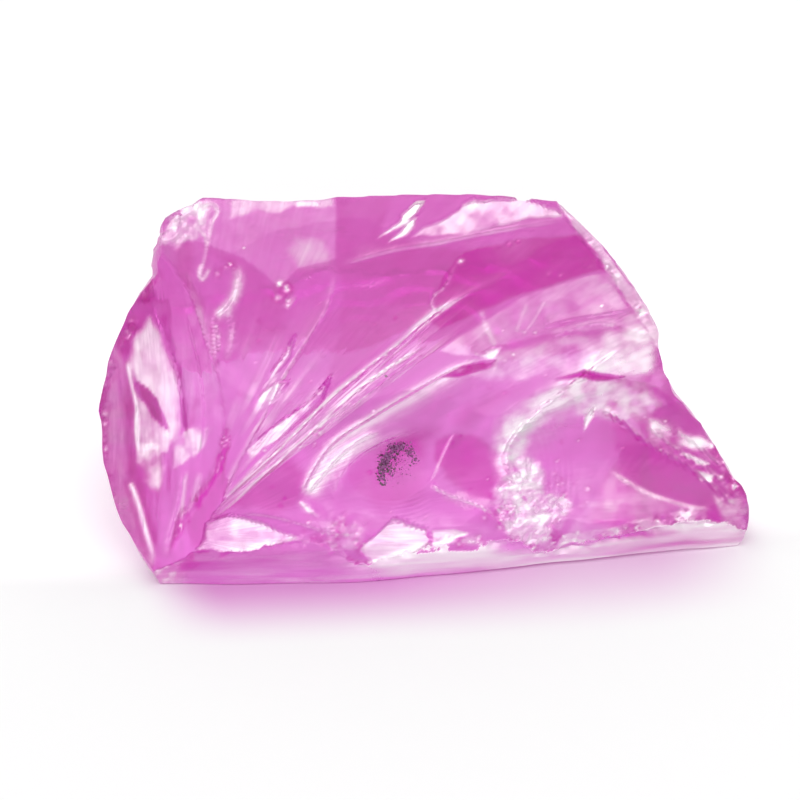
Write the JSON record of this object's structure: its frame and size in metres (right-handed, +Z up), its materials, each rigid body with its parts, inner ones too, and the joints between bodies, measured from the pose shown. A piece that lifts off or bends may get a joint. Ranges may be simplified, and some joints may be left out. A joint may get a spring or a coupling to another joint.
{
  "type": "rough zircon crystal",
  "caption": "Broken lump of clear pink crystal with shell-like breaks and fanning ridges, which rests on a flat lower face",
  "frame": {"origin": "middle of the footprint's box, on the surface the crystal rests on", "axes": "+X along the long lower edge, +Y from the leaning main face to the back, +Z up"},
  "size_m": [0.0502, 0.03, 0.0239],
  "materials": {
    "pink_crystal": "clear pink, glossy shell-like breaks"
  },
  "bodies": {
    "root": {"crystal": "pink_crystal"}
  },
  "joints": []
}
